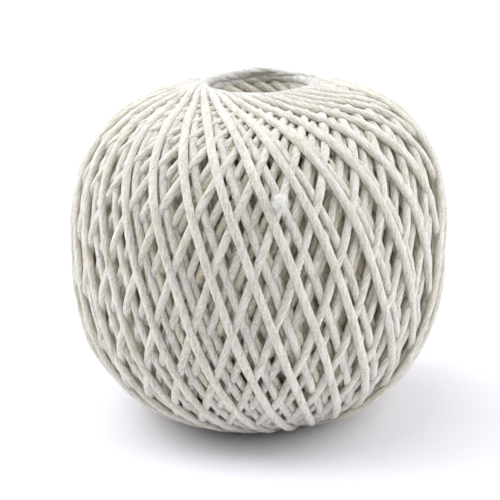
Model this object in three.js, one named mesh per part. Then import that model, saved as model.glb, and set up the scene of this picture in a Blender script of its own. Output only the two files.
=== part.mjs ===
/**
 * Ball of cotton twine, cross-wound in closed loops on a round mandrel and drawn off it.
 *
 * The ball is one solid: a full, slightly squashed round form with the mandrel's hole open
 * through it, its skin quilted into diamonds by the crossing outer loops, and a narrow flat
 * ring round the lower mouth to rest on. Each loop touches the hole's rim at both ends and
 * leans one way on the near side and the other way on the far side, so two families of
 * loops cross all over the ball.
 *
 * Millimetres, +Z up along the hole, origin at the centre of the flat ring it rests on.
 */
import * as THREE from 'three';

// ---- The ball's form -----------------------------------------------------------------
const BALL_DIAMETER = 90;
const BALL_RADIUS = BALL_DIAMETER / 2;
const TOP_DOME = { side: 1, rise: 41.0, fullness: 2.63 };
const BOTTOM_DOME = { side: -1, rise: 42.4, fullness: 2.49 };
const REST_FACE_RADIUS = 18.5;
const WIDEST_HEIGHT = domeHeight(BOTTOM_DOME, REST_FACE_RADIUS);

// ---- The hole that the mandrel leaves, and the rings its turns stack into ---------------
const HOLE_RADIUS = 12.5;
const ROLL_RADIUS = 2.2;
const ROLL_STEPS = 3;
const RING_HEIGHT = 3.9;
const RINGS_SHOWN = 2;
const RING_GROOVE_DEPTH = 0.6;
const RING_GROOVE_HALF_WIDTH = 0.7;

// ---- The winding -----------------------------------------------------------------------
const TWINE_DIAMETER = 1.9;
const LOOPS_PER_TRIP = 30;
const TANGENT_RADIUS = HOLE_RADIUS + TWINE_DIAMETER / 2;
const LEAN_AT_WIDEST = 1.2;
const LAST_LATTICE_ROW = 8;

// ---- The quilted skin --------------------------------------------------------------------
const DIMPLE_DEPTH = 1.5;
const SPAN_SAG = 0.3;
const RIDGE_HALF_WIDTH = 1.9;
const WIDEST_INSET = 0.4;

const HALF_STEP = Math.PI / LOOPS_PER_TRIP;
const COLUMNS = 2 * LOOPS_PER_TRIP;

/** Radius of a dome at a height above or below the widest level. */
function domeRadius(dome, height) {
  const part = Math.pow(height / dome.rise, dome.fullness);
  return BALL_RADIUS * Math.pow(1 - part, 1 / dome.fullness);
}

/** Height of a dome, from the widest level, at a radius. */
function domeHeight(dome, radius) {
  const part = Math.pow(radius / BALL_RADIUS, dome.fullness);
  return dome.rise * Math.pow(1 - part, 1 / dome.fullness);
}

/** A loop's offset from the axis, in tangent radii, at a fraction of the way to the rim. */
function loopOffset(fraction) {
  return LEAN_AT_WIDEST * fraction + (1 - LEAN_AT_WIDEST) * Math.pow(fraction, 3);
}

/** Height, from the widest level, at which a loop has turned by the angle lean. */
function heightOfLean(dome, lean) {
  const rimHeight = domeHeight(dome, TANGENT_RADIUS);
  let low = 0;
  let high = 1;
  for (let pass = 0; pass < 40; pass += 1) {
    const middle = (low + high) / 2;
    const reach = domeRadius(dome, middle * rimHeight) * Math.sin(lean);
    if (reach > TANGENT_RADIUS * loopOffset(middle)) {
      low = middle;
    } else {
      high = middle;
    }
  }
  return low * rimHeight;
}

/**
 * Point on the skin where loop number `falling` of one family meets loop number `rising` of
 * the other. Whole numbers are crossings, and fractions lie between the loops.
 */
function skinPoint(falling, rising, depth) {
  const azimuth = (falling + rising) * HALF_STEP;
  const lean = (falling - rising) * HALF_STEP;
  const dome = lean < 0 ? BOTTOM_DOME : TOP_DOME;
  const height = heightOfLean(dome, Math.abs(lean));
  const radius = domeRadius(dome, height);
  const normal = new THREE.Vector2(
    Math.pow(radius / BALL_RADIUS, dome.fullness - 1) / BALL_RADIUS,
    Math.pow(height / dome.rise, dome.fullness - 1) / dome.rise,
  ).normalize();
  const skinRadius = radius - depth * normal.x;
  const skinHeight = WIDEST_HEIGHT + dome.side * (height - depth * normal.y);
  return new THREE.Vector3(
    skinRadius * Math.cos(azimuth),
    skinRadius * Math.sin(azimuth),
    Math.max(skinHeight, 0),
  );
}

/** Collects triangles, each given with its corners in order round its outer face. */
class Skin {
  constructor() {
    this.coordinates = [];
  }

  triangle(first, second, third) {
    for (const corner of [first, second, third]) {
      this.coordinates.push(corner.x, corner.y, corner.z);
    }
  }

  fan(apex, others) {
    for (let index = 0; index + 1 < others.length; index += 1) {
      this.triangle(apex, others[index], others[index + 1]);
    }
  }

  geometry() {
    const geometry = new THREE.BufferGeometry();
    geometry.setAttribute('position', new THREE.Float32BufferAttribute(this.coordinates, 3));
    geometry.computeVertexNormals();
    return geometry;
  }
}

/** The four corners of a diamond: its lower-azimuth side, bottom, other side and top. */
function diamondCorners(falling, rising, inset, depth) {
  const near = inset;
  const far = 1 - inset;
  return [
    skinPoint(falling + near, rising + near, depth),
    skinPoint(falling + near, rising + far, depth),
    skinPoint(falling + far, rising + far, depth),
    skinPoint(falling + far, rising + near, depth),
  ];
}

/** Middles of a diamond's four edges, where a loop's span sags between two crossings. */
function diamondMiddles(falling, rising) {
  return [
    skinPoint(falling, rising + 0.5, SPAN_SAG),
    skinPoint(falling + 0.5, rising + 1, SPAN_SAG),
    skinPoint(falling + 1, rising + 0.5, SPAN_SAG),
    skinPoint(falling + 0.5, rising, SPAN_SAG),
  ];
}

/** One diamond of the lattice: four ridges, four sloping walls and a sunken floor. */
function addDiamond(skin, falling, rising) {
  const corners = diamondCorners(falling, rising, 0, 0);
  const middles = diamondMiddles(falling, rising);
  const width = middles[0].distanceTo(middles[2]);
  const inset = Math.min(RIDGE_HALF_WIDTH / width, WIDEST_INSET);
  const depth = DIMPLE_DEPTH * Math.min(1, width / (4 * RIDGE_HALF_WIDTH));
  const floor = diamondCorners(falling, rising, inset, depth);
  for (let side = 0; side < 4; side += 1) {
    const next = (side + 1) % 4;
    skin.triangle(corners[side], middles[side], floor[side]);
    skin.triangle(middles[side], floor[next], floor[side]);
    skin.triangle(middles[side], corners[next], floor[next]);
  }
  skin.fan(floor[0], [floor[1], floor[2], floor[3]]);
}

/** The half diamond that closes the lattice's last row towards the mouth. */
function addHalfDiamond(skin, falling, rising, dome) {
  const [left, bottom, right, top] = diamondCorners(falling, rising, 0, 0);
  const middles = diamondMiddles(falling, rising);
  const centre = skinPoint(falling + 0.5, rising + 0.5, 0);
  if (dome.side > 0) {
    skin.fan(centre, [left, middles[0], bottom, middles[1], right]);
  } else {
    skin.fan(centre, [right, middles[2], top, middles[3], left]);
  }
}

/** The crossing outer loops, from the lattice's last row above to its last row below. */
function addLattice(skin) {
  for (let row = -LAST_LATTICE_ROW; row <= LAST_LATTICE_ROW; row += 1) {
    for (let loop = 0; loop < LOOPS_PER_TRIP; loop += 1) {
      if (row === LAST_LATTICE_ROW) {
        addHalfDiamond(skin, loop, loop - row, TOP_DOME);
      } else if (row === -LAST_LATTICE_ROW) {
        addHalfDiamond(skin, loop, loop - row, BOTTOM_DOME);
      } else {
        addDiamond(skin, loop, loop - row);
      }
    }
  }
}

/** A level ring of points round the axis. */
function levelRing(radius, height) {
  const ring = [];
  for (let column = 0; column < COLUMNS; column += 1) {
    const azimuth = column * HALF_STEP;
    ring.push(new THREE.Vector3(radius * Math.cos(azimuth), radius * Math.sin(azimuth), height));
  }
  return ring;
}

/** The lattice's last row of points, in the same columns as the level rings. */
function lastLatticeRing(dome) {
  const ring = [];
  for (let column = 0; column < COLUMNS; column += 1) {
    const shift = (dome.side * LAST_LATTICE_ROW) / 2;
    ring.push(skinPoint(column / 2 + shift, column / 2 - shift, 0));
  }
  return ring;
}

/** Rings from the lattice over the mouth's roll and down past the stacked rings of turns. */
function mouthRings(dome, crownHeight) {
  const rings = [lastLatticeRing(dome)];
  for (let step = 0; step <= ROLL_STEPS; step += 1) {
    const turn = (Math.PI / 2) * (step / ROLL_STEPS);
    const radius = HOLE_RADIUS + ROLL_RADIUS * (1 - Math.sin(turn));
    const drop = ROLL_RADIUS * (1 - Math.cos(turn));
    rings.push(levelRing(radius, crownHeight - dome.side * drop));
  }
  for (let ring = 1; ring <= RINGS_SHOWN; ring += 1) {
    const groove = crownHeight - dome.side * ring * RING_HEIGHT;
    const lip = dome.side * RING_GROOVE_HALF_WIDTH;
    rings.push(levelRing(HOLE_RADIUS, groove + lip));
    rings.push(levelRing(HOLE_RADIUS + RING_GROOVE_DEPTH, groove));
    rings.push(levelRing(HOLE_RADIUS, groove - lip));
  }
  return rings;
}

/** Joins two rings of points; `upper` lies before `lower` on the way down the hole. */
function addBand(skin, upper, lower) {
  for (let column = 0; column < COLUMNS; column += 1) {
    const next = (column + 1) % COLUMNS;
    skin.triangle(upper[column], upper[next], lower[next]);
    skin.triangle(upper[column], lower[next], lower[column]);
  }
}

/** Both mouths and the hole between them, from the top lattice row to the bottom one. */
function addHole(skin) {
  const crownRadius = HOLE_RADIUS + ROLL_RADIUS;
  const topCrown = WIDEST_HEIGHT + domeHeight(TOP_DOME, crownRadius);
  const rings = [
    ...mouthRings(TOP_DOME, topCrown),
    ...mouthRings(BOTTOM_DOME, 0).reverse(),
  ];
  for (let ring = 0; ring + 1 < rings.length; ring += 1) {
    addBand(skin, rings[ring], rings[ring + 1]);
  }
}

/** The ball as one closed, quilted solid with its hole open right through. */
function woundTwine() {
  const skin = new Skin();
  addLattice(skin);
  addHole(skin);
  const cotton = new THREE.MeshStandardMaterial({
    color: 0xdcd8ce,
    roughness: 0.95,
    metalness: 0,
    flatShading: true,
  });
  const mesh = new THREE.Mesh(skin.geometry(), cotton);
  mesh.name = 'wound_twine';
  return mesh;
}

const ball = new THREE.Group();
ball.add(woundTwine());

export default ball;
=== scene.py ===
"""A ball of cotton twine, wound crosswise over a mandrel, for Blender 4.5.

The ball is laid up the way a winding machine lays it. Loops of twine that touch the
mandrel's circle at both ends go down one after the other, oldest first, on a height
field over the ball's surface. Each loop lies on what is already there, slips a little
into the hollows and is pulled tight over the gaps. The newest trips round the ball
are then swept as real twine, and the oldest ones become the surface that shows deep
in the gaps. Slanted strands line the hole. Lengths are in metres, angles in radians.
"""

import logging
import math
from dataclasses import dataclass, field

import bpy
import numpy as np
from mathutils import Matrix, Vector


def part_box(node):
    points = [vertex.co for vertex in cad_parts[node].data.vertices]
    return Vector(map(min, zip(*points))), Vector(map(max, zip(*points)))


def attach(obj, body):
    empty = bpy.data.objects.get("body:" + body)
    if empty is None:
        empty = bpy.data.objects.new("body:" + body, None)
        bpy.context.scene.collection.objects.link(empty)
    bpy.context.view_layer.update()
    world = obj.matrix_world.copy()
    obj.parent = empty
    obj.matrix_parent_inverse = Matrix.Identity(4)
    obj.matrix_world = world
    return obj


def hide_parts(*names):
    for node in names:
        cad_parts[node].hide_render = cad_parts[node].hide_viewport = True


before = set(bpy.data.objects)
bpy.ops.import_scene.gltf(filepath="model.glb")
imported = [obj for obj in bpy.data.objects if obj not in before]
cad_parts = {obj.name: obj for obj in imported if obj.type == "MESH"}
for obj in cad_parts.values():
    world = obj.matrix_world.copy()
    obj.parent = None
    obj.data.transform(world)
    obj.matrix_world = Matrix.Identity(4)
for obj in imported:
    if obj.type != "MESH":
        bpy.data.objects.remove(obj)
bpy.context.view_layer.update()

NODE_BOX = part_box("wound_twine")
MM = 0.001
BODY = "root"

BELL_REACH = 3
KNOT_DEVIATION = 1.25

Array = np.ndarray
Colour = tuple[float, float, float]
log = logging.getLogger("ball_of_twine")


# ---------------------------------------------------------------- helpers on arrays


def smooth_along(values: Array, spacing: float, spread: float) -> Array:
    """Smooths values along a path with a bell curve, the ends held.

    The weight of a neighbour at distance d is exp(-d^2 / (2 spread^2)).

    Args:
        values: one value for each station, or one row of values.
        spacing: distance between stations.
        spread: standard deviation of the bell curve.

    Returns:
        The smoothed values, as many as came in.
    """
    reach = int(BELL_REACH * spread / spacing) + 1
    distance = np.arange(-reach, reach + 1) * spacing
    weights = np.exp(-distance ** 2 / (2 * spread ** 2))
    weights /= weights.sum()
    padding = [(reach, reach)] + [(0, 0)] * (values.ndim - 1)
    padded = np.pad(values, padding, mode="edge")
    return windows_of(padded, 2 * reach + 1) @ weights


def windows_of(padded: Array, width: int) -> Array:
    """Every stretch of a width along the first axis, as a last axis of its own."""
    return np.lib.stride_tricks.sliding_window_view(padded, width, axis=0)


def pulled_tight(support: Array, spacing: float, bend: float, reach: float) -> Array:
    """Height of a taut twine over a row of supports.

    The twine bends no tighter outwards than a circle of radius bend, so it is the
    closing of the supports by the parabola d^2 / (2 bend): first the highest of
    (support - parabola) near each station, then the lowest of (that + parabola).

    Args:
        support: lowest height the twine may take at each station.
        spacing: distance between stations.
        bend: radius that the tight twine follows over a gap.
        reach: how far to each side a station looks.

    Returns:
        Height of the twine at each station.
    """
    count = int(reach / spacing)
    drop = (np.arange(-count, count + 1) * spacing) ** 2 / (2 * bend)
    padded = np.pad(support, count, mode="edge")
    over = (windows_of(padded, len(drop)) - drop).max(axis=1)
    padded = np.pad(over, count, mode="edge")
    return (windows_of(padded, len(drop)) + drop).min(axis=1)


def unit(vectors: Array) -> Array:
    """Vectors scaled to length one along their last axis."""
    return vectors / np.linalg.norm(vectors, axis=-1, keepdims=True)


def square_to(vectors: Array, forward: Array) -> Array:
    """Unit vectors square to a unit direction, nearest to the vectors given."""
    return unit(vectors - (vectors * forward).sum(-1, keepdims=True) * forward)


def around(radius: Array | float, azimuth: Array, height: Array) -> Array:
    """Points at a radius from the axis, an azimuth and a height."""
    return np.stack([radius * np.cos(azimuth), radius * np.sin(azimuth), height], -1)


def ply_coordinates(turned: Array, along: Array) -> Array:
    """Cosine and sine of the angle round the plies, and millimetres along them."""
    return around(1.0, turned, np.broadcast_to(along / MM, turned.shape))


def bell(values: Array, middle: float, width: float) -> Array:
    """The bell curve exp(-((value - middle) / width)^2)."""
    return np.exp(-((values - middle) / width) ** 2)


def running_total(steps: Array) -> Array:
    """The steps added up, from 0 before the first."""
    return np.concatenate([[0], np.cumsum(steps)])


def ring_angles(count: int) -> Array:
    """Evenly spaced angles once round, from 0."""
    return 2 * math.pi * np.arange(count) / count


def slow_noise(rng: np.random.Generator, count: int, spacing: float,
               wavelength: float) -> Array:
    """Smooth random values with mean 0 and standard deviation 1 along a path.

    Random knots one wavelength apart are joined by a cubic blend, 3t^2 - 2t^3.

    Args:
        rng: seeded source of the knots.
        count: number of stations.
        spacing: distance between stations.
        wavelength: distance between knots.

    Returns:
        One value for each station.
    """
    place = np.arange(count) * spacing / wavelength
    knots = rng.normal(0.0, KNOT_DEVIATION, int(place[-1]) + 3)
    index = place.astype(int)
    t = place - index
    blend = t * t * (3 - 2 * t)
    return knots[index] * (1 - blend) + knots[index + 1] * blend


# ---------------------------------------------------------------- meshes


def ring_quads(rows: int, columns: int, closed_rows: bool) -> Array:
    """Quads of a grid whose columns close on themselves.

    Vertex (i, j) has index i * columns + j. A quad is (i, j), (i + 1, j),
    (i + 1, j + 1), (i, j + 1), so it faces along row direction x column direction.

    Args:
        rows: number of rows of vertices.
        columns: number of vertices in a row.
        closed_rows: whether the last row joins the first.

    Returns:
        An array with four vertex indices for each quad.
    """
    i = np.arange(rows if closed_rows else rows - 1)[:, None]
    j = np.arange(columns)[None, :]
    i_next, j_next = (i + 1) % rows, (j + 1) % columns
    corners = [i * columns + j, i_next * columns + j,
               i_next * columns + j_next, i * columns + j_next]
    return np.stack(corners, axis=-1).reshape(-1, 4)


def mesh_object(name: str, vertices: Array, quads: Array, caps: list[Array],
                ply: Array | None, material: bpy.types.Material) -> bpy.types.Object:
    """Puts whole arrays into a smooth-shaded mesh object at the origin.

    Args:
        name: name of the object and of its mesh.
        vertices: (n, 3) places.
        quads: (m, 4) vertex indices.
        caps: vertex indices of any faces with another number of corners.
        ply: (n, 3) ply coordinates to keep with the vertices, if any.
        material: finish of the whole mesh.

    Returns:
        The linked object.
    """
    mesh = bpy.data.meshes.new(name)
    corners = np.concatenate([quads.ravel(), *caps]).astype(np.int32)
    sizes = np.array([4] * len(quads) + [len(c) for c in caps])
    starts = np.concatenate([[0], np.cumsum(sizes)[:-1]]).astype(np.int32)
    mesh.vertices.add(len(vertices))
    mesh.vertices.foreach_set("co", vertices.astype(np.float32).ravel())
    mesh.loops.add(len(corners))
    mesh.loops.foreach_set("vertex_index", corners)
    mesh.polygons.add(len(sizes))
    mesh.polygons.foreach_set("loop_start", starts)
    mesh.polygons.foreach_set("use_smooth", np.ones(len(sizes), bool))
    mesh.update(calc_edges=True)
    if ply is not None:
        layer = mesh.attributes.new("ply", "FLOAT_VECTOR", "POINT")
        layer.data.foreach_set("vector", ply.astype(np.float32).ravel())
    mesh.materials.append(material)
    made = bpy.data.objects.new(name, mesh)
    bpy.context.scene.collection.objects.link(made)
    return made


def mount(piece: bpy.types.Object) -> bpy.types.Object:
    """Rides a piece on the ball's body and reports its triangles."""
    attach(piece, BODY)
    triangles = sum(len(p.vertices) - 2 for p in piece.data.polygons)
    log.info("%s: %d triangles", piece.name, triangles)
    return piece


# ---------------------------------------------------------------- the ball's form


@dataclass(frozen=True)
class Dome:
    """Half of the ball's outline, with a low collar round the mouth.

    Without the collar, (r / R)^n + (h / rise)^n = 1. The collar adds
    collar * exp(-((r - mouth) / collar width)^2) to the height h.
    """

    radius: float
    rise: float
    fullness: float
    mouth: float
    collar: float
    collar_width: float = 5.5 * MM
    points: int = 6001

    def height(self, radius: Array | float) -> Array | float:
        """Height above or below the widest level at a radius."""
        part = (radius / self.radius) ** self.fullness
        collar = self.collar * bell(radius, self.mouth, self.collar_width)
        return self.rise * (1 - part) ** (1 / self.fullness) + collar

    def outline(self, lip: float) -> tuple[Array, Array, Array, Array]:
        """The outline from the widest level to the mouth.

        With t from 0 to 90 degrees, r = R cos(t)^(2/n). The slant is the angle of
        the outward normal of the form without the collar above the level, scaled so
        that it is upright at the mouth, and the outline runs on level from there.

        Args:
            lip: how far the outline runs on inside the mouth.

        Returns:
            Arc length, radius, height and slant at each point.
        """
        t = np.linspace(0, math.pi / 2, self.points)
        radius = self.radius * np.cos(t) ** (2 / self.fullness)
        radius = np.append(radius[radius >= self.mouth], self.mouth)
        height = self.height(radius)
        arc = running_total(np.hypot(np.diff(radius), np.diff(height)))
        power = self.fullness - 1
        bare = (1 - (radius / self.radius) ** self.fullness) ** (1 / self.fullness)
        slant = np.arctan2(bare ** power / self.rise,
                           (radius / self.radius) ** power / self.radius)
        slant *= (math.pi / 2) / slant[-1]
        return (np.append(arc, arc[-1] + lip), np.append(radius, self.mouth - lip),
                np.append(height, height[-1]), np.append(slant, slant[-1]))


@dataclass
class BallForm:
    """The ball's outer form, as places over an azimuth, an arc length and a depth.

    The arc length runs along the outline, 0 at the widest level, plus towards the
    top hole and minus towards the bottom one.
    """

    radius: float = (NODE_BOX[1].x - NODE_BOX[0].x) / 2
    top_rise: float = 39.7 * MM
    top_fullness: float = 2.86
    bottom_rise: float = 42.4 * MM
    bottom_fullness: float = 2.49
    rest_radius: float = 18.5 * MM
    tangent_radius: float = 12.5 * MM
    lip: float = 1.3 * MM
    top_collar: float = 1.2 * MM
    sway: float = 0.022
    top_arc: float = field(init=False)
    bottom_arc: float = field(init=False)
    widest_height: float = field(init=False)

    def __post_init__(self) -> None:
        """Works out the outline's tables from the driving sizes."""
        mouth = self.tangent_radius
        top = Dome(self.radius, self.top_rise, self.top_fullness, mouth, self.top_collar)
        bottom = Dome(self.radius, self.bottom_rise, self.bottom_fullness, mouth, 0.0)
        up, down = top.outline(self.lip), bottom.outline(self.lip)
        self.top_arc, self.bottom_arc = up[0][-2], down[0][-2]
        self.top_mouth, self.bottom_mouth = up[2][-1], down[2][-1]
        self.widest_height = bottom.height(self.rest_radius)
        self._arc = np.concatenate([-down[0][::-1], up[0][1:]])
        self._radius = np.concatenate([down[1][::-1], up[1][1:]])
        self._height = np.concatenate([-down[2][::-1], up[2][1:]])
        self._slant = np.concatenate([-down[3][::-1], up[3][1:]])

    def outline(self, arc: Array) -> tuple[Array, Array, Array]:
        """Radius, height over the widest level and slant at arc lengths."""
        return (np.interp(arc, self._arc, self._radius),
                np.interp(arc, self._arc, self._height),
                np.interp(arc, self._arc, self._slant))

    def radius_at(self, arc: Array, depth: Array | float) -> Array:
        """Distance from the axis at an arc length and a depth under the outline."""
        radius, _, slant = self.outline(arc)
        return radius - depth * np.cos(slant)

    def place(self, azimuth: Array, arc: Array, depth: Array) -> Array:
        """Points under the outline, each moved in along its slant by its depth."""
        radius, height, slant = self.outline(arc)
        radius = radius - depth * np.cos(slant)
        height = height - depth * np.sin(slant) + self.widest_height
        return around(radius, azimuth, height)

    def swayed(self, points: Array) -> Array:
        """Points moved to the side in step with their height over the widest level."""
        points[..., 0] += self.sway * (points[..., 2] - self.widest_height)
        return points

    def outward(self, azimuth: Array, arc: Array) -> Array:
        """Directions out of the ball, opposite to the depth."""
        slant = self.outline(arc)[2]
        return around(np.cos(slant), azimuth, np.sin(slant))


# ---------------------------------------------------------------- the wind


@dataclass
class Wind:
    """The machine's wind: loops that start at the top mouth and step round it.

    A loop falls from the top mouth to the bottom one on one side of the ball and
    rises again on the other. Its lean from the meridian is
    asin(tangent radius * G(s) / radius), where s is the height as a share of the
    mouth's and G(s) = g1 s + (1 - g1 - g5) s^3 + g5 s^5.
    """

    form: BallForm
    loops_in_trip: int = 30
    trips: int = 8
    step: float = math.radians(12.153)
    newest_azimuth: float = math.radians(76.0)
    growth: float = 2.1 * MM
    g1: float = 1.24
    g5: float = -0.34
    unevenness: float = math.radians(0.9)
    creep: float = math.radians(0.10)
    newest_creep: float = math.radians(0.17)
    samples: int = 1501
    stations: int = 600
    seed: int = 4
    older_offsets: tuple[float, ...] = (-0.5, -4.0, -0.5)

    def starts(self) -> Array:
        """Azimuth where each loop starts, newest loop first.

        Each is one step further round than the last, less a slow creep within a
        trip, with a small random unevenness. The second, third and fourth trips are
        also offset by some degrees. The newest trip is even, with its own creep.

        Returns:
            One azimuth for each loop, and one more for where the newest would go on.
        """
        rng = np.random.default_rng(self.seed)
        count = self.loops_in_trip * self.trips
        index = np.arange(-1, count)
        within = np.mod(index, self.loops_in_trip)
        offset = rng.normal(0, self.unevenness, len(index)) - self.creep * within
        trip = index // self.loops_in_trip
        for older, degrees in enumerate(self.older_offsets, start=1):
            offset[trip == older] += math.radians(degrees)
        offset[trip == 0] = -self.newest_creep * index[trip == 0]
        offset[0] = 0
        return self.newest_azimuth + index * self.step + offset

    def lean(self, arc: Array, depth: float) -> Array:
        """Angle between the path and the meridian."""
        radius, height, slant = self.form.outline(arc)
        mouth = np.where(height > 0, self.form.top_mouth, self.form.bottom_mouth)
        s = np.clip(height / mouth, -1, 1)
        law = self.g1 * s + (1 - self.g1 - self.g5) * s ** 3 + self.g5 * s ** 5
        sine = self.form.tangent_radius * law / (radius - depth * np.cos(slant))
        return np.arcsin(np.clip(sine, -1, 1))

    def route(self, start: float, end: float, depth: float
              ) -> tuple[Array, Array, float]:
        """Azimuth and arc length along one loop, at even distances.

        The arc length follows a sine from one mouth to the other. Falling, the
        azimuth is start + 90 degrees - lean, and rising start + 270 degrees + lean.
        The whole loop drifts evenly from its start to the next loop's.

        Args:
            start: azimuth where the loop leaves the top mouth.
            end: azimuth where the next loop leaves it.
            depth: depth of the loop under the outline.

        Returns:
            Azimuth and arc length at each station, and the loop's length.
        """
        form = self.form
        swing = np.sin(math.pi / 2 * np.linspace(-1, 1, self.samples))
        rising = np.where(swing > 0, form.top_arc, form.bottom_arc) * swing
        lean = self.lean(rising, depth)
        arc = np.concatenate([rising[::-1], rising[1:]])
        azimuth = np.concatenate([math.pi / 2 - lean[::-1],
                                  3 * math.pi / 2 + lean[1:]])
        radius = form.radius_at(arc, depth)
        middle = (radius[1:] + radius[:-1]) / 2
        length = running_total(np.hypot(np.diff(arc), np.diff(azimuth) * middle))
        share = np.arange(self.stations) / self.stations
        azimuth = np.interp(share * length[-1], length, azimuth)
        arc = np.interp(share * length[-1], length, arc)
        return start + azimuth - (start - end) * share, arc, length[-1]


@dataclass
class Path:
    """A stretch of a loop on the bed, with the sideways direction at each station."""

    azimuth: Array
    arc: Array
    radius: Array

    def __post_init__(self) -> None:
        """Works out the sideways step from the path's own direction."""
        x = np.gradient(self.azimuth) * self.radius
        y = np.gradient(self.arc)
        size = np.hypot(x, y)
        self.side_azimuth = -y / size / self.radius
        self.side_arc = x / size

    def moved(self, shift: Array, lead: tuple[slice | None, ...]
              ) -> tuple[Array, Array]:
        """Azimuth and arc length of places shifted sideways."""
        return (self.azimuth[lead] + shift * self.side_azimuth[lead],
                self.arc[lead] + shift * self.side_arc[lead])


@dataclass
class LayingBed:
    """The surface that the twine is laid on: a height over azimuth and arc length."""

    form: BallForm
    half_width: float = 0.98 * MM
    half_height: float = 0.64 * MM
    columns: int = 1080
    row_step: float = 0.25 * MM
    feelers: int = 13
    stamp_points: int = 17
    off_bed: float = -1.0
    block_rows: int = 5
    block_columns: int = 36
    crest_share: float = 92.0
    crest_ramp: float = 0.6
    crest_waves: int = 4
    crest_radius: float = 12.0 * MM
    narrow_width: float = 1.3 * MM
    broad_width: float = 2.0 * MM

    def __post_init__(self) -> None:
        """Starts with a bare surface of height 0."""
        self.first_arc = -self.form.bottom_arc - self.form.lip
        last_arc = self.form.top_arc + self.form.lip
        self.rows = int((last_arc - self.first_arc) / self.row_step) + 1
        self.heights = np.zeros((self.rows, self.columns))

    def cells(self, azimuth: Array, arc: Array) -> tuple[Array, Array, Array]:
        """Row and column nearest to each place, and whether it is on the bed."""
        column = np.round(azimuth / (2 * math.pi) * self.columns).astype(int)
        row = np.round((arc - self.first_arc) / self.row_step).astype(int)
        inside = (row >= 0) & (row < self.rows)
        return np.clip(row, 0, self.rows - 1), column % self.columns, inside

    def profile(self, count: int) -> tuple[Array, Array]:
        """Offsets across a laid twine, and the height of its round side there."""
        offset = np.linspace(-1, 1, count)
        return offset * self.half_width, self.half_height * np.sqrt(1 - offset ** 2)

    def support(self, path: Path, shift: Array) -> Array:
        """Lowest height of a twine's centre where it just lies on the bed.

        It is the highest of (bed height + height of the twine's round side) over
        offsets across the twine.

        Args:
            path: the path followed.
            shift: sideways move at each station, in one or more columns.

        Returns:
            Heights of the centre, shaped as shift.
        """
        across, side = self.profile(self.feelers)
        move = shift[..., None] + across
        lead = (slice(None),) + (None,) * (move.ndim - 1)
        azimuth, arc = path.moved(move, lead)
        row, column, inside = self.cells(azimuth, arc)
        height = np.where(inside, self.heights[row, column], self.off_bed)
        return (height + side).max(axis=-1)

    def crest(self) -> Array:
        """Smooth height of the tops of the twine over the whole bed.

        The bed outside the crest radius is cut into blocks, and each block's top is
        the height that a share of it, in per cent, stays under. The mean top round
        the ball is spread by a narrow bell curve along the outline, and each block's
        difference from that mean by a broader one and by another round the ball. A
        share of the slow swing of the differences, up to three times round the ball,
        still shows in the form.

        Returns:
            The crest's height at each cell of the bed.
        """
        tall, wide = self.block_rows, self.block_columns
        arcs = self.first_arc + np.arange(self.rows) * self.row_step
        on_form = self.form.outline(arcs)[0] > self.crest_radius
        heights, known = self.heights[on_form], arcs[on_form]
        rows = len(heights) // tall
        blocks = heights[:rows * tall].reshape(rows, tall, -1, wide)
        tops = np.percentile(blocks, self.crest_share, axis=(1, 3))
        middles = known[:rows * tall].reshape(rows, -1).mean(axis=1)
        mean = tops.mean(axis=1, keepdims=True)
        turns = np.arange(tops.shape[1]) * wide + wide / 2
        waves = np.fft.rfft(tops - mean, axis=1)
        waves[:, self.crest_waves:] = 0
        swing = np.fft.irfft(waves, len(turns), axis=1)
        uneven = tops - mean - self.crest_ramp * swing
        apart = np.abs(np.arange(self.columns)[:, None] - turns)
        apart = np.minimum(apart, self.columns - apart)
        shares = [bell(arcs[:, None], middles, self.narrow_width),
                  bell(arcs[:, None], middles, self.broad_width), bell(apart, 0, wide)]
        narrow, broad, round_ball = (w / w.sum(axis=1, keepdims=True) for w in shares)
        return narrow @ mean + broad @ uneven @ round_ball.T

    def stamp(self, path: Path, height: Array) -> None:
        """Raises the bed to the top of a twine laid at a height."""
        across, side = self.profile(self.stamp_points)
        shift = np.broadcast_to(across, (len(height), self.stamp_points))
        azimuth, arc = path.moved(shift, (slice(None), None))
        row, column, inside = self.cells(azimuth, arc)
        top = height[:, None] + side
        np.maximum.at(self.heights, (row[inside], column[inside]), top[inside])


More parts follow.
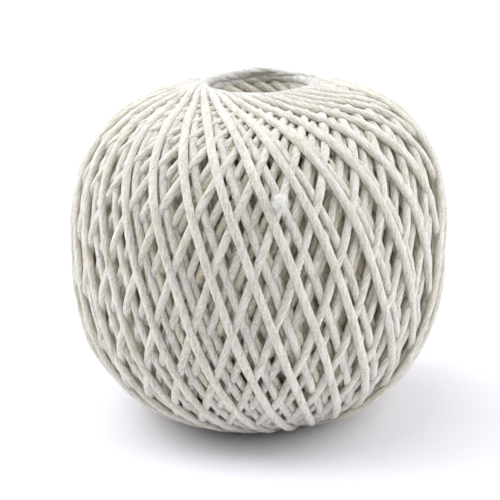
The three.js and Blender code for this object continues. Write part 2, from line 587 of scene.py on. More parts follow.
@dataclass
class LaidTwine:
    """The twine of the whole ball in the order it was wound, oldest loop first."""

    wind: Wind
    bed: LayingBed
    swept_trips: int = 5
    margin: int = 40
    slip: float = 0.7 * MM
    tries: int = 15
    stiffness: float = 600.0
    mouth_push: float = 8.0
    slip_spread: float = 4.5 * MM
    mouth_width: float = 8.0 * MM
    bend: float = 45.0 * MM
    tight_reach: float = 20.0 * MM
    sink: float = 0.15 * MM
    mouth_sink: float = 0.20 * MM
    squash: float = 0.35
    squash_radius: float = 18.5 * MM
    squash_width: float = 3.5 * MM
    surface_depth: float = 0.8 * MM
    loose_depth: float = 1.3 * MM
    packing: float = 0.5
    snug: float = 0.6
    snug_radius: float = 29.0 * MM
    snug_width: float = 8.0 * MM
    even_width: float = 16.0 * MM
    even_spread: float = 3.5 * MM
    flank_spread: float = 1.6 * MM
    support_spread: float = 0.7 * MM
    height_spread: float = 0.8 * MM
    place_spread: float = 0.6 * MM
    tuck_length: float = 8.0 * MM
    tuck_depth: float = 6.0 * MM
    tuck_power: float = 1.5

    def lay(self) -> None:
        """Lays every loop, oldest first, and keeps the bed under the swept trips."""
        wind = self.wind
        starts = wind.starts()
        count = wind.loops_in_trip * wind.trips
        routes, lengths = [], []
        for loop in range(count - 1, -2, -1):
            depth = wind.growth * max(loop, 0) / wind.loops_in_trip
            end = starts[loop] if loop >= 0 else starts[0] - wind.step
            azimuth, arc, length = wind.route(starts[loop + 1], end, depth)
            routes.append((azimuth, arc))
            lengths.append(length)
        stations = wind.stations
        self.azimuth, self.arc, self.height = np.zeros((3, count, stations))
        self.lengths = np.array(lengths[:count])
        kept_from = count - self.swept_trips * wind.loops_in_trip
        tail = None
        for order in range(count):
            if order == kept_from:
                self.inner_heights = self.bed.heights.copy()
            depth = wind.growth * (count - 1 - order) / wind.loops_in_trip
            spacing = lengths[order] / stations
            tail = self.lay_loop(order, routes, depth, spacing, tail)
        self.crest = self.bed.crest()

    def lay_loop(self, order: int, routes: list[tuple[Array, Array]], depth: float,
                 spacing: float, tail: tuple[Array, ...] | None) -> tuple[Array, ...]:
        """Lays one loop on the bed, joined to the loop before it.

        The loop is laid together with the end of the one before, whose shifts and
        heights are kept, and with the start of the next, which is laid again later.

        Args:
            order: place of the loop in time, 0 for the oldest.
            routes: azimuths and arc lengths of all the loops.
            depth: depth of the loop under the outline.
            spacing: distance between stations.
            tail: route, shift and height at the end of the loop before, if any.

        Returns:
            The same for the end of this loop.
        """
        form, bed, margin = self.wind.form, self.bed, self.margin
        azimuth, arc = routes[order]
        next_azimuth, next_arc = routes[order + 1]
        azimuth = np.concatenate([azimuth, next_azimuth[:margin] + 2 * math.pi])
        arc = np.concatenate([arc, next_arc[:margin]])
        before = 0
        if tail is not None:
            before = margin
            azimuth = np.concatenate([tail[0] - 2 * math.pi, azimuth])
            arc = np.concatenate([tail[1], arc])
        path = Path(azimuth, arc, form.radius_at(arc, depth))
        near = self.near_mouth(path.radius, self.mouth_width)
        tries = np.linspace(-self.slip, self.slip, self.tries)
        shift = tries + np.zeros((len(arc), 1))
        moved_arc = np.clip(path.moved(shift, (slice(None), None))[1],
                            -form.bottom_arc - form.lip, form.top_arc + form.lip)
        inside = form.tangent_radius - form.radius_at(moved_arc, depth)
        cost = (bed.support(path, shift) + self.stiffness * shift ** 2
                + self.mouth_push * np.maximum(inside, 0))
        best = np.take_along_axis(shift, cost.argmin(axis=1)[:, None], 1)[:, 0]
        if tail is not None:
            best[:margin] = tail[2]
        best = smooth_along(best, spacing, self.slip_spread)
        azimuth, arc = path.moved(best, (slice(None),))
        arc = np.clip(arc, -form.bottom_arc, form.top_arc)
        laid = Path(azimuth, arc, form.radius_at(arc, depth))
        support = bed.support(laid, np.zeros(len(arc)))
        support = smooth_along(support, spacing, self.support_spread)
        if tail is not None:
            support[:margin] = tail[3] + self.sink
        height = pulled_tight(support, spacing, self.bend, self.tight_reach)
        height = smooth_along(height - self.sink - self.mouth_sink * near, spacing,
                              self.height_spread)
        own = slice(before, before + self.wind.stations)
        bed.stamp(Path(azimuth[own], arc[own], laid.radius[own]), height[own])
        self.azimuth[order] = azimuth[own] + 2 * math.pi * order
        self.arc[order] = arc[own]
        self.height[order] = height[own]
        rest = slice(own.stop, None)
        self.next_start = azimuth[rest] + 2 * math.pi * order, arc[rest], height[rest]
        end = slice(own.stop - margin, own.stop)
        return path.azimuth[end], path.arc[end], best[end], height[end]

    def near_mouth(self, radius: Array, width: float) -> Array:
        """Share from 0 out on the ball to 1 at the mouth, as 3n^2 - 2n^3."""
        near = np.clip(1 - (radius - self.wind.form.tangent_radius) / width, 0, 1)
        return near * near * (3 - 2 * near)

    def depth(self, azimuth: Array, arc: Array, height: Array) -> Array:
        """Depth under the outline of a height over the bare bed.

        It is the crest's height less this one. In a band round the mouths the twine
        is squashed, so the depth under the outermost twine's centre is cut by
        squash * exp(-((r - squash radius) / squash width)^2) of itself. The trips
        underneath are pressed together, so past the loose depth only the packing's
        share of it counts. On the ball's shoulders, in a second band of the same
        form, the trips crowd together and that share is less.
        """
        row, column, _ = self.bed.cells(azimuth, arc)
        depth = self.crest[row, column] - height
        radius = self.wind.form.outline(arc)[0]
        squash = self.squash * bell(radius, self.squash_radius, self.squash_width)
        depth = depth - squash * (depth - self.surface_depth)
        crowd = self.snug * bell(radius, self.snug_radius, self.snug_width)
        kept = self.packing * (1 - crowd)
        return depth - (1 - kept) * np.maximum(depth - self.loose_depth, 0)

    def run(self, newest: int, oldest: int) -> tuple[Array, Array, float]:
        """Centre line and outward directions of a run of loops, in winding order.

        Runs are cut at the bottom mouth, half a loop on from where loops start. The
        depth is evened along the twine, most near the mouths. The ball's last end is
        tucked in: past the newest loop it goes on a little and dives under the rest.

        Args:
            newest: number of the run's newest loop, 0 for the ball's newest.
            oldest: number of the run's oldest loop.

        Returns:
            Places, outward directions and the mean distance between them.
        """
        count, stations = self.azimuth.shape
        rows = slice(count - 1 - oldest, count - newest)
        cut = stations // 2
        part = slice(rows.start * stations + cut, rows.stop * stations + cut + 1)
        azimuth = self.azimuth.ravel()[part]
        arc = self.arc.ravel()[part]
        height = self.height.ravel()[part]
        form = self.wind.form
        spacing = self.lengths[rows].mean() / stations
        if newest == 0:
            tail_azimuth, tail_arc, tail_height = self.next_start
            tucked = np.arange(1, len(tail_arc) + 1) * spacing
            kept = tucked <= self.tuck_length
            dive = np.minimum(tucked / self.tuck_length, 1) ** self.tuck_power
            drop = self.tuck_depth * dive
            azimuth = np.append(azimuth, tail_azimuth[kept])
            arc = np.append(arc, tail_arc[kept])
            height = np.append(height, (tail_height - drop)[kept])
        depth = self.depth(azimuth, arc, height)
        near = self.near_mouth(form.outline(arc)[0], self.even_width)
        depth = ((1 - near) * smooth_along(depth, spacing, self.flank_spread)
                 + near * smooth_along(depth, spacing, self.even_spread))
        places = form.place(azimuth, arc, depth)
        places = smooth_along(places, spacing, self.place_spread)
        return places, unit(form.outward(azimuth, arc)), spacing


# ---------------------------------------------------------------- finishes


@dataclass(frozen=True)
class Grain:
    """A noise: the factor on each coordinate, its scale, and how many finer ones."""

    stretch: tuple[float, float, float]
    scale: float
    detail: float
    roughness: float = 0.6


class Shading:
    """A new material, with the few kinds of node that the finishes join."""

    def __init__(self, name: str, roughness: float) -> None:
        """Makes the material with its main shader."""
        self.material = bpy.data.materials.new(name)
        self.material.use_nodes = True
        self.nodes = self.material.node_tree.nodes
        self.link = self.material.node_tree.links.new
        self.shader = self.nodes["Principled BSDF"]
        self.shader.inputs["Roughness"].default_value = roughness

    def set_inputs(self, values: dict[str, float | tuple[float, ...]]) -> None:
        """Sets the main shader's inputs by name."""
        for name, value in values.items():
            self.shader.inputs[name].default_value = value

    def noise(self, source: bpy.types.NodeSocket, grain: Grain
              ) -> bpy.types.NodeSocket:
        """A noise over stretched coordinates.

        Args:
            source: the coordinates.
            grain: the noise's stretch, scale, detail and roughness.

        Returns:
            The noise's value.
        """
        mapping = self.nodes.new("ShaderNodeMapping")
        mapping.inputs["Scale"].default_value = grain.stretch
        noise = self.nodes.new("ShaderNodeTexNoise")
        noise.inputs["Scale"].default_value = grain.scale
        noise.inputs["Detail"].default_value = grain.detail
        noise.inputs["Roughness"].default_value = grain.roughness
        self.link(source, mapping.inputs["Vector"])
        self.link(mapping.outputs["Vector"], noise.inputs["Vector"])
        return noise.outputs["Fac"]

    def weighted(self, extra: bpy.types.NodeSocket, weight: float,
                 base: bpy.types.NodeSocket) -> bpy.types.NodeSocket:
        """The value base + weight * extra."""
        add = self.nodes.new("ShaderNodeMath")
        add.operation = "MULTIPLY_ADD"
        add.inputs[1].default_value = weight
        self.link(extra, add.inputs[0])
        self.link(base, add.inputs[2])
        return add.outputs[0]

    def shaded(self, value: bpy.types.NodeSocket, deep: Colour, pale: Colour) -> None:
        """Colours the shader from deep, where the value is 0, to pale, where it is 1."""
        ramp = self.nodes.new("ShaderNodeValToRGB")
        ramp.color_ramp.elements[0].color = (*deep, 1)
        ramp.color_ramp.elements[1].color = (*pale, 1)
        self.link(value, ramp.inputs["Fac"])
        self.link(ramp.outputs["Color"], self.shader.inputs["Base Color"])


@dataclass(frozen=True)
class CottonFinish:
    """Unbleached cotton: matt and slightly fuzzy, with fine fibres along the plies."""

    name: str
    pale: Colour = (0.97, 0.951, 0.845)
    deep: Colour = (0.70, 0.657, 0.525)
    middle: float = 0.97
    contrast: float = 0.20
    roughness: float = 0.95
    sheen: float = 0.3
    sheen_roughness: float = 0.6
    gloss: float = 0.2
    glow: float = 0.5
    glow_colour: Colour = (1.0, 0.9, 0.75)
    glow_depth: float = 1.0 * MM
    bump_depth: float = 0.8 * MM
    streaks: Grain = Grain((2.0, 2.0, 0.32), 1.0, 4.0)
    tone: Grain = Grain((0.05, 0.05, 0.02), 5.0, 2.0)
    fluff: Grain = Grain((1.0, 1.0, 1.0), 2000.0, 3.0)
    pale_share: float = 0.5
    tone_weight: float = 0.35
    fluff_weight: float = 0.6
    fluff_bump: float = 0.7

    def material(self) -> bpy.types.Material:
        """Builds the cotton's nodes on the twine's own ply coordinates.

        Fibre streaks are a noise stretched along the plies, the fluff is a fine
        noise in object space, and a slow noise along the length shades the tone.

        Returns:
            The material.
        """
        shading = Shading(self.name, self.roughness)
        shading.set_inputs({"Sheen Weight": self.sheen,
                            "Sheen Roughness": self.sheen_roughness,
                            "Specular IOR Level": self.gloss,
                            "Subsurface Weight": self.glow,
                            "Subsurface Radius": self.glow_colour,
                            "Subsurface Scale": self.glow_depth})
        ply = shading.nodes.new("ShaderNodeAttribute")
        ply.attribute_name = "ply"
        place = shading.nodes.new("ShaderNodeTexCoord")
        streaks = shading.noise(ply.outputs["Vector"], self.streaks)
        tone = shading.noise(ply.outputs["Vector"], self.tone)
        fluff = shading.noise(place.outputs["Object"], self.fluff)
        toned = shading.weighted(tone, self.tone_weight, streaks)
        mottled = shading.weighted(fluff, self.fluff_weight, toned)
        palest = self.middle + self.pale_share * self.contrast
        spread = shading.nodes.new("ShaderNodeMapRange")
        spread.inputs["From Min"].default_value = self.middle - self.contrast
        spread.inputs["From Max"].default_value = palest
        shading.link(mottled, spread.inputs["Value"])
        shading.shaded(spread.outputs["Result"], self.deep, self.pale)
        bump = shading.nodes.new("ShaderNodeBump")
        bump.inputs["Distance"].default_value = self.bump_depth
        shading.link(shading.weighted(fluff, self.fluff_bump, streaks),
                     bump.inputs["Height"])
        shading.link(bump.outputs["Normal"], shading.shader.inputs["Normal"])
        return shading.material


@dataclass(frozen=True)
class TableFinish:
    """The plain white table."""

    name: str = "white_table"
    colour: Colour = (0.925, 0.917, 0.95)
    roughness: float = 0.7
    mottle_scale: float = 6.0
    mottle_shade: float = 0.985

    def material(self) -> bpy.types.Material:
        """A matt white surface with a very faint mottle."""
        shading = Shading(self.name, self.roughness)
        mottle = shading.nodes.new("ShaderNodeTexNoise")
        mottle.inputs["Scale"].default_value = self.mottle_scale
        shade = tuple(self.mottle_shade * part for part in self.colour)
        shading.shaded(mottle.outputs["Fac"], shade, self.colour)
        return shading.material


# ---------------------------------------------------------------- sub-assemblies


@dataclass(frozen=True)
class TwineSection:
    """The twine's section: an oval of three soft plies that turn along the length."""

    half_width: float = 1.0 * MM
    half_thickness: float = 0.84 * MM
    ply_pitch: float = 18.0 * MM
    plies: int = 3
    ply_lobe: float = 0.02
    slub: float = 0.035
    slub_length: float = 5.0 * MM

    def swept(self, places: Array, outward: Array, spacing: float, sides: int,
              rng: np.random.Generator) -> tuple[Array, Array]:
        """Sweeps the section along a centre line.

        The section is (w cos a) to the side and (t sin a) outwards, scaled by
        1 + lobe cos(plies (a - twist)) + slub noise, where the twist turns once in
        a ply pitch. The ply coordinates are (cos, sin) of the angle that turns with
        the plies, and the length along the twine in millimetres.

        Args:
            places: the centre line.
            outward: direction of the section's thickness at each place.
            spacing: distance between the swept rings.
            sides: number of corners of a ring.
            rng: seeded source of the slubs.

        Returns:
            Corners and ply coordinates, each (rings, sides, 3).
        """
        length = running_total(np.linalg.norm(np.diff(places, axis=0), axis=1))
        along = np.linspace(0, length[-1], int(round(length[-1] / spacing)) + 1)
        centre = np.stack([np.interp(along, length, column) for column in places.T], -1)
        normal = np.stack([np.interp(along, length, column) for column in outward.T], -1)
        forward = unit(np.gradient(centre, axis=0))
        normal = square_to(normal, forward)
        side = np.cross(forward, normal)
        slub = self.slub * slow_noise(rng, len(along), spacing, self.slub_length)
        angle = ring_angles(sides)
        turned = angle + 2 * math.pi * along[:, None] / self.ply_pitch
        scale = 1 + self.ply_lobe * np.cos(self.plies * turned) + slub[:, None]
        across = (self.half_width * np.cos(angle) * scale)[..., None]
        up = (self.half_thickness * np.sin(angle) * scale)[..., None]
        points = centre[:, None] + across * side[:, None] + up * normal[:, None]
        return points, ply_coordinates(turned, along[:, None])


def joined_tubes(name: str, tubes: list[tuple[Array, Array]],
                 material: bpy.types.Material) -> bpy.types.Object:
    """Makes one mesh of closed tubes.

    Args:
        name: name of the piece.
        tubes: corners and ply coordinates of each tube, each (rings, sides, 3).
        material: finish of them all.

    Returns:
        The piece.
    """
    quads, caps, first = [], [], 0
    for points, _ in tubes:
        rings, sides = points.shape[:2]
        quads.append(first + ring_quads(rings, sides, False))
        caps.append(first + np.arange(sides))
        caps.append(first + rings * sides - 1 - np.arange(sides))
        first += rings * sides
    corners = np.concatenate([points.reshape(-1, 3) for points, _ in tubes])
    ply = np.concatenate([values.reshape(-1, 3) for _, values in tubes])
    return mount(mesh_object(name, corners, np.concatenate(quads), caps, ply, material))


@dataclass(frozen=True)
class TwineRun:
    """A run of loops swept as real twine, one closed piece."""

    name: str
    newest: int
    oldest: int
    sides: int
    spacing: float
    section: TwineSection = TwineSection()
    floor_press: float = 0.8 * MM
    seed: int = 11

    def build(self, laid: LaidTwine, material: bpy.types.Material) -> bpy.types.Object:
        """Sweeps the run's twine, pressed flat where it stands on the table.

        Args:
            laid: the twine as it lies in the ball.
            material: the twine's finish.

        Returns:
            The piece.
        """
        places, outward, _ = laid.run(self.newest, self.oldest)
        rng = np.random.default_rng(self.seed + self.newest)
        points, ply = self.section.swept(places, outward, self.spacing, self.sides, rng)
        points[..., 2] = pressed_on_table(points[..., 2], self.floor_press)
        return joined_tubes(self.name, [(laid.wind.form.swayed(points), ply)], material)


def pressed_on_table(height: Array, press: float) -> Array:
    """Heights where the twine is pressed flat on the table.

    A height h under press becomes press * exp((h - press) / press), so it never
    goes under the table and points keep their order.
    """
    low = press * np.exp((np.minimum(height, press) - press) / press)
    return np.where(height < press, low, height)


@dataclass(frozen=True)
class FibreShape:
    """The shape of fine loose fibres that curl away from where they are rooted."""

    radius: float = 0.035 * MM
    shortest: float = 1.2 * MM
    longest: float = 5.0 * MM
    lift: float = 0.55 * MM
    curl: float = 0.16
    free_share: float = 0.4
    taper: float = 0.7
    short_bias: float = 2.0
    free_rise: float = 1.5
    lift_shape: float = 2.0
    fewest_waves: float = 2.0
    most_waves: float = 6.0
    rings: int = 7
    sides: int = 3

    def grown(self, roots: Array, heading: Array, up: Array,
              rng: np.random.Generator) -> tuple[Array, Array]:
        """Grows one fibre from each root.

        With t from 0 to 1 along a fibre of length L, its centre is root
        + L t heading + lift f(t) up + curl L (sin(w t + p) - sin p) aside, where
        f is t^1.5 for a fibre with a free end and sin(pi t) for one that comes back
        down. It thins towards its tip as 1 - taper t^2.

        Args:
            roots: (n, 3) places where the fibres start.
            heading: (n, 3) unit directions they run in.
            up: (n, 3) unit directions away from the twine.
            rng: seeded source of the lengths and curls.

        Returns:
            Corners and ply coordinates, each (n, rings, sides, 3).
        """
        count = len(roots)
        t = np.linspace(0, 1, self.rings)
        share = rng.random(count) ** self.short_bias
        length = self.shortest + (self.longest - self.shortest) * share
        lift = self.lift * rng.gamma(self.lift_shape, 1 / self.lift_shape, count)
        free = rng.random(count) < self.free_share
        rise = np.where(free[:, None], t ** self.free_rise, np.sin(math.pi * t))
        phase = rng.uniform(0, 2 * math.pi, (count, 1))
        waves = rng.uniform(self.fewest_waves, self.most_waves, (count, 1))
        sway = np.sin(waves * t + phase) - np.sin(phase)
        aside = np.cross(heading, up)
        centre = (roots[:, None]
                  + (length[:, None] * t)[..., None] * heading[:, None]
                  + (lift[:, None] * rise)[..., None] * up[:, None]
                  + (self.curl * length[:, None] * sway)[..., None] * aside[:, None])
        forward = unit(np.gradient(centre, axis=1))
        normal = square_to(up[:, None], forward)
        side = np.cross(forward, normal)
        angle = ring_angles(self.sides)
        thin = (self.radius * (1 - self.taper * t ** 2))[None, :, None, None]
        points = centre[:, :, None] + thin * (np.cos(angle)[:, None] * side[:, :, None]
                                              + np.sin(angle)[:, None]
                                              * normal[:, :, None])
        turned = np.broadcast_to(angle, points.shape[:3])
        return points, ply_coordinates(turned, (length[:, None] * t)[..., None])


@dataclass
class LooseFibres:
    """Fine fibres all over the outer trips of twine."""

    name: str = "loose_fibres"
    count: int = 3600
    newest: int = 0
    oldest: int = 74
    slant: float = math.radians(32.0)
    root_angle: float = 1.6
    root_share: float = 0.9
    section: TwineSection = TwineSection()
    shape: FibreShape = FibreShape()
    floor_press: float = 0.4 * MM
    seed: int = 31

    def build(self, laid: LaidTwine, material: bpy.types.Material) -> bpy.types.Object:
        """Roots fibres at random round the twine, most of them nearly along it.

        A root is at a random angle round the section's outer part, and its heading
        is slanted off the twine's direction by a random angle.

        Args:
            laid: the twine as it lies in the ball.
            material: the fibres' finish.

        Returns:
            The piece.
        """
        places, outward, _ = laid.run(self.newest, self.oldest)
        rng = np.random.default_rng(self.seed)
        pick = rng.integers(1, len(places) - 1, self.count)
        way = rng.choice([-1.0, 1.0], (self.count, 1))
        forward = unit(places[pick + 1] - places[pick - 1]) * way
        normal = square_to(outward[pick], forward)
        side = np.cross(forward, normal)
        angle = rng.uniform(-self.root_angle, self.root_angle, (self.count, 1))
        up = np.cos(angle) * normal + np.sin(angle) * side
        around = np.cos(angle) * side - np.sin(angle) * normal
        slant = rng.normal(0, self.slant, (self.count, 1))
        heading = np.cos(slant) * forward + np.sin(slant) * around
        reach = (self.section.half_thickness * np.cos(angle) * normal
                 + self.section.half_width * np.sin(angle) * side)
        roots = places[pick] + self.root_share * reach
        points, ply = self.shape.grown(roots, heading, up, rng)
        points[..., 2] = pressed_on_table(points[..., 2], self.floor_press)
        points = laid.wind.form.swayed(points)
        return joined_tubes(self.name, list(zip(points, ply)), material)


@dataclass(frozen=True)
class CaughtBit:
    """A small lump caught on the twine, such as a tuft of fluff or a fleck of seed.

    Its half sizes are across, up along the ball's side, and outwards.
    """

    name: str
    azimuth: float
    arc: float
    depth: float
    half_sizes: tuple[float, float, float]
    lumps: float
    rings: int = 20
    sides: int = 24
    pole_gap: float = 0.08
    ripples: float = 2.6
    ply_scale: float = 3.0
    fibres: int = 0
    root_share: float = 0.85
    shape: FibreShape = FibreShape(shortest=0.8 * MM, longest=2.2 * MM,
                                   lift=0.4 * MM, curl=0.4, free_share=0.8)
    seed: int = 41

    def build(self, form: BallForm, material: bpy.types.Material) -> bpy.types.Object:
        """A lumpy ball, with short fibres out of it if it is fluff.

        A point in direction d is at half size * d * (1 + lumps * the mean of three
        sine waves of the direction with random phases).

        Args:
            form: the ball's form.
            material: the lump's finish.

        Returns:
            The piece.
        """
        rng = np.random.default_rng(self.seed)
        at = np.array([self.azimuth]), np.array([self.arc]), np.array([self.depth])
        centre = form.place(*at)[0]
        out = unit(form.outward(at[0], at[1]))[0]
        across = np.array([-math.sin(self.azimuth), math.cos(self.azimuth), 0.0])
        frame_axes = np.stack([across, np.cross(out, across), out])
        tilt = np.linspace(self.pole_gap, math.pi - self.pole_gap, self.rings)[:, None]
        turn = ring_angles(self.sides)
        away = np.stack([np.sin(tilt) * np.cos(turn), -np.cos(tilt) + 0 * turn,
                         -np.sin(tilt) * np.sin(turn)], -1)
        lump = self.lump(away, rng) @ frame_axes + centre
        tubes = [(lump, away * self.ply_scale)]
        if self.fibres:
            start = unit(rng.normal(0, 1, (self.fibres, 3)))
            heading = unit(np.cross(start, unit(rng.normal(0, 1, (self.fibres, 3)))))
            roots = self.root_share * start * np.array(self.half_sizes)
            points, ply = self.shape.grown(roots @ frame_axes + centre,
                                           heading @ frame_axes, start @ frame_axes,
                                           rng)
            tubes += list(zip(points, ply))
        return joined_tubes(self.name, [(form.swayed(p), c) for p, c in tubes],
                            material)

    def lump(self, away: Array, rng: np.random.Generator) -> Array:
        """Points of the lump in its own axes for the directions given."""
        waves = rng.normal(0, self.ripples, (3, 3))
        phases = rng.uniform(0, 2 * math.pi, 3)
        ripple = np.sin(away @ waves.T + phases).mean(-1, keepdims=True)
        return away * (1 + self.lumps * ripple) * np.array(self.half_sizes)


@dataclass
class HoleWall:
    """The strands that line the hole and bend out over its rims."""

    name: str = "hole_wall"
    strands: int = 17
    radius: float = 12.4 * MM
    climb: float = math.radians(25.0)
    low: float = 2.4 * MM
    high: float = 79.3 * MM
    flare: float = 3.0 * MM
    flare_height: float = 2.6 * MM
    lip: float = 0.9 * MM
    lip_from_end: float = 4.0 * MM
    lip_width: float = 3.2 * MM
    turn_back: float = 2.0 * MM
    levels: int = 700
    sides: int = 8
    spacing: float = 1.2 * MM
    section: TwineSection = TwineSection()
    seed: int = 23

    def build(self, form: BallForm, material: bpy.types.Material) -> bpy.types.Object:
        """Sweeps each strand up the wall, aslant one way below and the other above.

        With d the level over the middle, a strand's azimuth is its share of a turn
        + sqrt(d^2 + turn_back^2) / (radius tan climb). Within the flare height of
        an end, with s its share left, the radius is greater by flare * s^2. With e
        the height from the nearer end, it is less by a lip
        * exp(-((e - lip from end) / lip width)^2).

        Args:
            form: the ball's form, for its sway.
            material: the twine's finish.

        Returns:
            The piece.
        """
        level = np.linspace(self.low, self.high, self.levels)
        end = np.minimum(level - self.low, self.high - level)
        left = np.maximum(1 - end / self.flare_height, 0)
        lip = self.lip * bell(end, self.lip_from_end, self.lip_width)
        radius = self.radius + self.flare * left ** 2 - lip
        beside = np.hypot(level - (self.low + self.high) / 2, self.turn_back)
        sweep = beside / (self.radius * math.tan(self.climb))
        rng = np.random.default_rng(self.seed)
        tubes = []
        for start in ring_angles(self.strands):
            azimuth = start + sweep
            inward = -around(1.0, azimuth, 0 * azimuth)
            places = around(radius, azimuth, level)
            points, ply = self.section.swept(places, inward, self.spacing, self.sides,
                                             rng)
            tubes.append((form.swayed(points), ply))
        return joined_tubes(self.name, tubes, material)


@dataclass
class InnerWinding:
    """The oldest twine deep in the gaps, as one ring-shaped surface."""

    name: str = "inner_winding"
    columns: int = 240
    arc_step: float = 1.0 * MM
    wall_step: float = 3.0 * MM
    wall_radius: float = 13.3 * MM
    deepest: float = 4.8 * MM
    edge: float = 0.5 * MM
    lowest: float = 1.0 * MM
    ply_scale: float = 0.5

    def build(self, laid: LaidTwine, material: bpy.types.Material) -> bpy.types.Object:
        """The laid bed outside, closed by a plain cylinder behind the hole's wall.

        Outside, rows follow the arc length and each point is at the bed's height
        there, or at the deepest that shows. The ply coordinates are the place in
        millimetres, times the ply scale.

        Args:
            laid: the twine as it lies in the ball.
            material: the inner twine's finish.

        Returns:
            The piece.
        """
        form, bed = laid.wind.form, laid.bed
        first, last = -form.bottom_arc - self.edge, form.top_arc + self.edge
        arcs = np.linspace(first, last, int((last - first) / self.arc_step))
        azimuth = ring_angles(self.columns)
        arc_grid, azimuth_grid = np.meshgrid(arcs, azimuth, indexing="ij")
        row, column, _ = bed.cells(azimuth_grid, arc_grid)
        height = laid.inner_heights[row, column]
        depth = np.minimum(laid.depth(azimuth_grid, arc_grid, height), self.deepest)
        outer = form.place(azimuth_grid, arc_grid, depth)
        flat = np.hypot(outer[..., 0], outer[..., 1])
        pushed = np.maximum(flat, self.wall_radius) / flat
        outer[..., :2] *= pushed[..., None]
        top, low = outer[-1, :, 2], outer[0, :, 2]
        rows = int((top.mean() - low.mean()) / self.wall_step)
        share = np.linspace(0, 1, rows + 2)[1:-1, None]
        level = top + (low - top) * share
        turn = np.broadcast_to(azimuth, level.shape)
        wall = around(self.wall_radius, turn, level)
        points = form.swayed(np.concatenate([outer, wall]))
        points[..., 2] = np.maximum(points[..., 2], self.lowest)
        quads = ring_quads(len(points), self.columns, True)[:, ::-1]
        corners = points.reshape(-1, 3)
        ply = self.ply_scale * corners / MM
        return mount(mesh_object(self.name, corners, quads, [], ply, material))


# ---------------------------------------------------------------- studio


@dataclass(frozen=True)
class Softbox:
    """One square area light: its place, the length of its side and its watts."""

    name: str
    place: tuple[float, float, float]
    side: float
    watts: float

    def build(self, aim: Vector, colour: Colour) -> None:
        """Sets the light up, aimed at a place.

        Args:
            aim: the place that it faces.
            colour: its colour.
        """
        data = bpy.data.lights.new(self.name, "AREA")
        data.shape, data.size = "SQUARE", self.side
        data.energy, data.color = self.watts, colour
        light = bpy.data.objects.new(self.name, data)
        bpy.context.scene.collection.objects.link(light)
        light.location = self.place
        light.rotation_mode = "QUATERNION"
        light.rotation_quaternion = (Vector(self.place) - aim).to_track_quat("Z", "Y")


@dataclass
class Studio:
    """A white table, soft lights all round and the camera."""

    centre: Vector
    table_half: float = 3.0
    elevation: float = math.radians(17.97)
    distance: float = 403.0 * MM
    roll: float = math.radians(-1.63)
    lens: float = 119.9
    sensor: float = 36.0
    shift: tuple[float, float] = (-0.018, -0.0094)
    clip: tuple[float, float] = (0.01, 50.0)
    light_colour: Colour = (0.94, 0.94, 1.0)
    softboxes: tuple[Softbox, ...] = (
        Softbox("top_light", (-0.3, 0.17, 1.0), 1.2, 10.0),
        Softbox("left_light", (-0.75, -0.1, 0.8), 0.9, 2.0),
        Softbox("low_left_light", (-0.85, 0.25, 0.6), 0.9, 7.5),
        Softbox("right_light", (0.75, -0.1, 0.8), 0.9, 7.5),
        Softbox("low_right_light", (0.95, -0.3, 0.25), 0.7, 3.0),
        Softbox("back_right_light", (0.75, 0.65, 0.4), 0.9, 2.0))
    glow_colour: Colour = (1.0, 0.985, 0.96)
    glow_strength: float = 0.15

    def table(self) -> None:
        """The table top, a plain sheet at the height the ball rests on."""
        half = self.table_half
        corners = np.array([[-half, -half, 0], [half, -half, 0],
                            [half, half, 0], [-half, half, 0]])
        quad = np.array([[0, 1, 2, 3]])
        table = mesh_object("table_top", corners, quad, [], None,
                            TableFinish().material())

    def camera(self) -> None:
        """Aims the camera at the ball's centre, turned a little about its own axis."""
        data = bpy.data.cameras.new("camera")
        data.lens, data.sensor_width = self.lens, self.sensor
        data.shift_x, data.shift_y = self.shift
        data.clip_start, data.clip_end = self.clip
        camera = bpy.data.objects.new("camera", data)
        bpy.context.scene.collection.objects.link(camera)
        back = Vector((0, -math.cos(self.elevation), math.sin(self.elevation)))
        aim = (-back).to_track_quat("-Z", "Y").to_matrix().to_4x4()
        turn = Matrix.Rotation(self.roll, 4, "Z")
        camera.matrix_world = (Matrix.Translation(self.centre + back * self.distance)
                               @ aim @ turn)
        bpy.context.scene.camera = camera

    def lights(self) -> None:
        """Soft, slightly cool lights from above, both sides and behind, and a glow."""
        for softbox in self.softboxes:
            softbox.build(self.centre, self.light_colour)
        world = bpy.data.worlds.new("tent")
        world.use_nodes = True
        background = world.node_tree.nodes["Background"]
        background.inputs["Color"].default_value = (*self.glow_colour, 1)
        background.inputs["Strength"].default_value = self.glow_strength
        bpy.context.scene.world = world

    def build(self) -> None:
        """Sets up the table, the lights, the camera and the picture's tone."""
        self.table()
        self.camera()
        self.lights()
        bpy.context.scene.view_settings.view_transform = "Standard"
        bpy.context.scene.view_settings.look = "None"


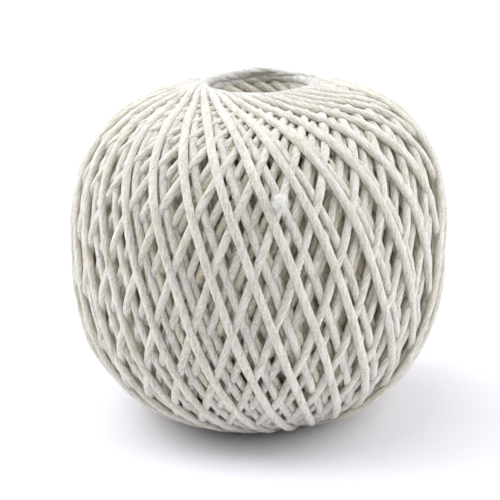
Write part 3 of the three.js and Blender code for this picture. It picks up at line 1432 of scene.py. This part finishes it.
@dataclass
class TwineBall:
    """The whole ball, newest trips swept and older ones as one surface.

    Each run gives its name, its newest and oldest loop, the corners of the twine's
    section and the distance between its rings. Runs from a set loop on lie deep, and
    their cotton is painted darker and warmer as painted shade for the deep gaps.
    """

    form: BallForm = field(default_factory=BallForm)
    runs: tuple[TwineRun, ...] = (
        TwineRun("newest_trip_second_half", 0, 14, 16, 1.0 * MM),
        TwineRun("newest_trip_first_half", 15, 29, 16, 1.0 * MM),
        TwineRun("second_trip", 30, 59, 12, 1.15 * MM),
        TwineRun("third_trip", 60, 89, 10, 1.35 * MM),
        TwineRun("fourth_trip", 90, 119, 8, 1.7 * MM),
        TwineRun("fifth_trip", 120, 149, 6, 2.0 * MM))
    # From this loop on, runs get the darker, warmer cotton: painted shade for deep
    # twine.
    painted_shade_from: int = 60
    outer_finish: CottonFinish = CottonFinish("cotton_twine_finish")
    # Darker, warmer cotton colours that stand in for the warm shade in the gaps: painted
    # shade.
    painted_shade_finish: CottonFinish = CottonFinish(
        "painted_shade_cotton_finish", pale=(0.96, 0.905, 0.745), deep=(0.69, 0.62, 0.44))
    # Hole lining cotton: warmer than the outer twine as painted shade of the hole, with
    # a lighter deep tone that brightens the shaded wall as painted light.
    painted_hole_shade_finish: CottonFinish = CottonFinish(
        "hole_cotton_painted_shade_finish", pale=(0.97, 0.935, 0.815), deep=(0.76, 0.705, 0.565))
    fluff_finish: CottonFinish = CottonFinish(
        "white_fluff_finish", pale=(1.0, 0.995, 0.95), deep=(1.0, 0.99, 0.94),
        sheen=0.0, glow=0.0, bump_depth=0.0)
    husk_finish: CottonFinish = CottonFinish(
        "seed_husk_finish", pale=(0.14, 0.10, 0.08), deep=(0.06, 0.04, 0.03), glow=0.0)
    tuft: CaughtBit = CaughtBit(
        "cotton_tuft", math.radians(-84.2), 23.0 * MM, -1.1 * MM,
        (1.1 * MM, 1.4 * MM, 0.9 * MM), lumps=0.3, fibres=600)
    fleck: CaughtBit = CaughtBit(
        "seed_fleck", math.radians(-66.0), 31.4 * MM, 0.05 * MM,
        (0.24 * MM, 0.36 * MM, 0.18 * MM), lumps=0.3, rings=8, sides=10)

    def build(self) -> None:
        """Winds the ball and makes its pieces, outermost first."""
        laid = LaidTwine(Wind(self.form), LayingBed(self.form))
        laid.lay()
        log.info("laid %d loops, %.1f m of twine", len(laid.lengths),
                 laid.lengths.sum())
        cotton = self.outer_finish.material()
        # Painted-shade cotton, darker and warmer, for the deep runs and the inner
        # winding.
        shaded_cotton = self.painted_shade_finish.material()
        pieces = [run.build(laid, cotton if run.newest < self.painted_shade_from else shaded_cotton)
                  for run in self.runs]
        # The hole's lining takes the warmer painted-shade cotton.
        HoleWall().build(self.form, self.painted_hole_shade_finish.material())
        # The inner winding takes the painted-shade cotton too.
        InnerWinding().build(laid, shaded_cotton)
        LooseFibres().build(laid, cotton)
        self.tuft.build(self.form, self.fluff_finish.material())
        self.fleck.build(self.form, self.husk_finish.material())
        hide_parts("wound_twine")


def main() -> None:
    """Builds the ball and its studio."""
    logging.basicConfig(level=logging.INFO, format="%(name)s: %(message)s")
    ball = TwineBall()
    ball.build()
    Studio(Vector((0, 0, ball.form.widest_height))).build()


if __name__ == "__main__":
    main()
